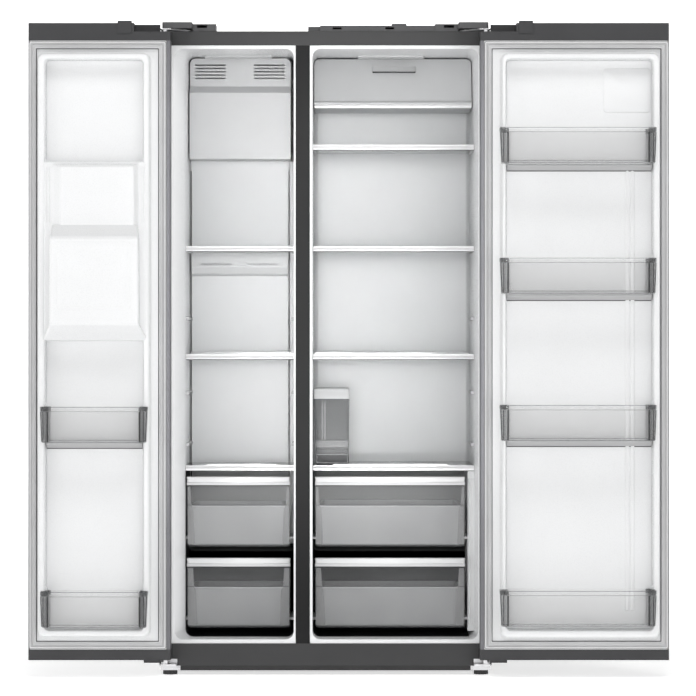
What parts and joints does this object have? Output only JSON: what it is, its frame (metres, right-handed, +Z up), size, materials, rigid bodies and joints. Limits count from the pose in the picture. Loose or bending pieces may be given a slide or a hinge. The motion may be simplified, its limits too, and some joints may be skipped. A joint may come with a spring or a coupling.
{
  "type": "side by side refrigerator",
  "caption": "Two-door side by side refrigerator, shown open, with glass shelves, frosted drawers, clear door bins and a water tank.",
  "frame": {"origin": "on the floor, below the middle of the whole outline with both doors open at 180 degrees", "axes": "+Z up; -Y is the front, where the doors and drawers open; +X to the right seen from the front"},
  "size_m": [1.743, 0.751, 1.786],
  "materials": {
    "dark_cabinet_paint": "satin",
    "grey_frame_paint": "satin",
    "galvanised_sheet": "dull",
    "black_plastic": "matt",
    "foam": "matt",
    "white_liner": "satin",
    "light_grey_plastic": "satin",
    "compressor_paint": "gloss",
    "condenser_paint": "satin",
    "fin_aluminium": "satin",
    "lamp_lens": "frosted",
    "shelf_glass": "clear",
    "frosted_drawer": "frosted",
    "clear_bin": "clear",
    "zinc_steel": "satin",
    "dark_plastic": "satin",
    "fan_plastic": "satin",
    "door_paint": "satin",
    "grey_gasket": "matt",
    "smoky_tank": "clear",
    "roller_rubber": "matt"
  },
  "bodies": {
    "cabinet": {"cabinet_wrap": "dark_cabinet_paint", "back_panel": "galvanised_sheet", "base_pan": "galvanised_sheet", "front_frame": "grey_frame_paint", "centre_rail": "grey_frame_paint", "plinth": "black_plastic", "cabinet_foam": "foam", "freezer_liner": "white_liner", "fridge_liner": "white_liner", "machine_cover": "galvanised_sheet", "compressor": "compressor_paint", "condenser": "condenser_paint", "drain_pan": "black_plastic", "evaporator": "fin_aluminium", "freezer_top_cover": "light_grey_plastic", "freezer_back_cover": "light_grey_plastic", "fridge_duct_cover": "light_grey_plastic", "lamp_lenses": "lamp_lens", "shelf_supports": "light_grey_plastic", "drawer_runners": "light_grey_plastic", "freezer_drawer_cover": "white_liner", "fridge_drawer_cover": "white_liner", "control_box": "dark_plastic", "top_hinge_brackets": "zinc_steel", "hinge_covers": "dark_plastic", "bottom_hinge_brackets": "zinc_steel"},
    "freezer_door": {"freezer_door_skin": "door_paint", "freezer_door_foam": "foam", "freezer_door_liner": "white_liner", "freezer_door_gasket": "grey_gasket", "freezer_door_caps": "dark_plastic", "dispenser_housing": "dark_plastic"},
    "fridge_door": {"fridge_door_skin": "door_paint", "fridge_door_foam": "foam", "fridge_door_liner": "white_liner", "fridge_door_gasket": "grey_gasket", "fridge_door_caps": "dark_plastic"},
    "front_foot_left_body": {"front_foot_left": "black_plastic"},
    "front_foot_right_body": {"front_foot_right": "black_plastic"},
    "rear_roller_left_body": {"rear_roller_left": "roller_rubber"},
    "rear_roller_right_body": {"rear_roller_right": "roller_rubber"},
    "condenser_fan_body": {"condenser_fan": "fan_plastic"},
    "evaporator_fan_body": {"evaporator_fan": "fan_plastic"},
    "freezer_shelf_upper_body": {"freezer_shelf_upper": "shelf_glass"},
    "freezer_shelf_lower_body": {"freezer_shelf_lower": "shelf_glass"},
    "fridge_shelf_top_body": {"fridge_shelf_top": "shelf_glass"},
    "fridge_shelf_middle_body": {"fridge_shelf_middle": "shelf_glass"},
    "fridge_shelf_bottom_body": {"fridge_shelf_bottom": "shelf_glass"},
    "freezer_drawer_upper_body": {"freezer_drawer_upper": "frosted_drawer"},
    "freezer_drawer_lower_body": {"freezer_drawer_lower": "frosted_drawer"},
    "fridge_drawer_upper_body": {"fridge_drawer_upper": "frosted_drawer"},
    "fridge_drawer_lower_body": {"fridge_drawer_lower": "frosted_drawer"},
    "freezer_bin_upper_body": {"freezer_bin_upper": "clear_bin"},
    "freezer_bin_lower_body": {"freezer_bin_lower": "clear_bin"},
    "fridge_bin_1_body": {"fridge_bin_1": "clear_bin"},
    "fridge_bin_2_body": {"fridge_bin_2": "clear_bin"},
    "fridge_bin_3_body": {"fridge_bin_3": "clear_bin"},
    "fridge_bin_4_body": {"fridge_bin_4": "clear_bin"},
    "dispenser_paddle_body": {"dispenser_paddle": "black_plastic"},
    "water_tank_body": {"water_tank": "smoky_tank"}
  },
  "joints": [
    {"name": "freezer_door_hinge", "type": "hinge", "parent": "cabinet", "child": "freezer_door", "pos_m": [-0.5015, -0.2415, 0.9], "axis": [0, 0, -1], "range_deg": [-180, 0]},
    {"name": "fridge_door_hinge", "type": "hinge", "parent": "cabinet", "child": "fridge_door", "pos_m": [0.3745, -0.2415, 0.9], "axis": [0, 0, 1], "range_deg": [-180, 0]},
    {"name": "freezer_drawer_upper_slide", "type": "slide", "parent": "cabinet", "child": "freezer_drawer_upper_body", "axis": [0, -1, 0], "range_m": [0, 0.24]},
    {"name": "freezer_drawer_lower_slide", "type": "slide", "parent": "cabinet", "child": "freezer_drawer_lower_body", "axis": [0, -1, 0], "range_m": [0, 0.2]},
    {"name": "fridge_drawer_upper_slide", "type": "slide", "parent": "cabinet", "child": "fridge_drawer_upper_body", "axis": [0, -1, 0], "range_m": [0, 0.3]},
    {"name": "fridge_drawer_lower_slide", "type": "slide", "parent": "cabinet", "child": "fridge_drawer_lower_body", "axis": [0, -1, 0], "range_m": [0, 0.2]},
    {"name": "freezer_shelf_upper_slide", "type": "slide", "parent": "cabinet", "child": "freezer_shelf_upper_body", "axis": [0, -1, 0], "range_m": [0, 0.2]},
    {"name": "freezer_shelf_lower_slide", "type": "slide", "parent": "cabinet", "child": "freezer_shelf_lower_body", "axis": [0, -1, 0], "range_m": [0, 0.22]},
    {"name": "fridge_shelf_top_slide", "type": "slide", "parent": "cabinet", "child": "fridge_shelf_top_body", "axis": [0, -1, 0], "range_m": [0, 0.3]},
    {"name": "fridge_shelf_middle_slide", "type": "slide", "parent": "cabinet", "child": "fridge_shelf_middle_body", "axis": [0, -1, 0], "range_m": [0, 0.3]},
    {"name": "fridge_shelf_bottom_slide", "type": "slide", "parent": "cabinet", "child": "fridge_shelf_bottom_body", "axis": [0, -1, 0], "range_m": [0, 0.3]},
    {"name": "freezer_bin_upper_lift", "type": "slide", "parent": "freezer_door", "child": "freezer_bin_upper_body", "axis": [0, 0, 1], "range_m": [0, 0.03]},
    {"name": "freezer_bin_lower_lift", "type": "slide", "parent": "freezer_door", "child": "freezer_bin_lower_body", "axis": [0, 0, 1], "range_m": [0, 0.03]},
    {"name": "fridge_bin_1_lift", "type": "slide", "parent": "fridge_door", "child": "fridge_bin_1_body", "axis": [0, 0, 1], "range_m": [0, 0.03]},
    {"name": "fridge_bin_2_lift", "type": "slide", "parent": "fridge_door", "child": "fridge_bin_2_body", "axis": [0, 0, 1], "range_m": [0, 0.03]},
    {"name": "fridge_bin_3_lift", "type": "slide", "parent": "fridge_door", "child": "fridge_bin_3_body", "axis": [0, 0, 1], "range_m": [0, 0.03]},
    {"name": "fridge_bin_4_lift", "type": "slide", "parent": "fridge_door", "child": "fridge_bin_4_body", "axis": [0, 0, 1], "range_m": [0, 0.03]},
    {"name": "water_tank_lift", "type": "slide", "parent": "cabinet", "child": "water_tank_body", "axis": [0, 0, 1], "range_m": [0, 0.05]},
    {"name": "dispenser_paddle_pivot", "type": "hinge", "parent": "freezer_door", "child": "dispenser_paddle_body", "pos_m": [-0.6865, -0.2885, 1.165], "axis": [-1, 0, 0], "range_deg": [0, 12], "stiffness_Nm_per_rad": 0.08, "springref_deg": -5.73},
    {"name": "condenser_fan_spin", "type": "hinge", "parent": "cabinet", "child": "condenser_fan_body", "pos_m": [0.0405, 0.2805, 0.118], "axis": [1, 0, 0], "continuous": true},
    {"name": "evaporator_fan_spin", "type": "hinge", "parent": "cabinet", "child": "evaporator_fan_body", "pos_m": [-0.3055, 0.1725, 1.52], "axis": [0, -1, 0], "continuous": true},
    {"name": "front_foot_left_screw", "type": "hinge", "parent": "cabinet", "child": "front_foot_left_body", "pos_m": [-0.4905, -0.1655, 0], "axis": [0, 0, 1], "continuous": true},
    {"name": "front_foot_right_screw", "type": "hinge", "parent": "cabinet", "child": "front_foot_right_body", "pos_m": [0.3635, -0.1655, 0], "axis": [0, 0, 1], "continuous": true},
    {"name": "rear_roller_left_spin", "type": "hinge", "parent": "cabinet", "child": "rear_roller_left_body", "pos_m": [-0.4625, 0.3405, 0.011], "axis": [1, 0, 0], "continuous": true},
    {"name": "rear_roller_right_spin", "type": "hinge", "parent": "cabinet", "child": "rear_roller_right_body", "pos_m": [0.3355, 0.3405, 0.011], "axis": [1, 0, 0], "continuous": true}
  ]
}
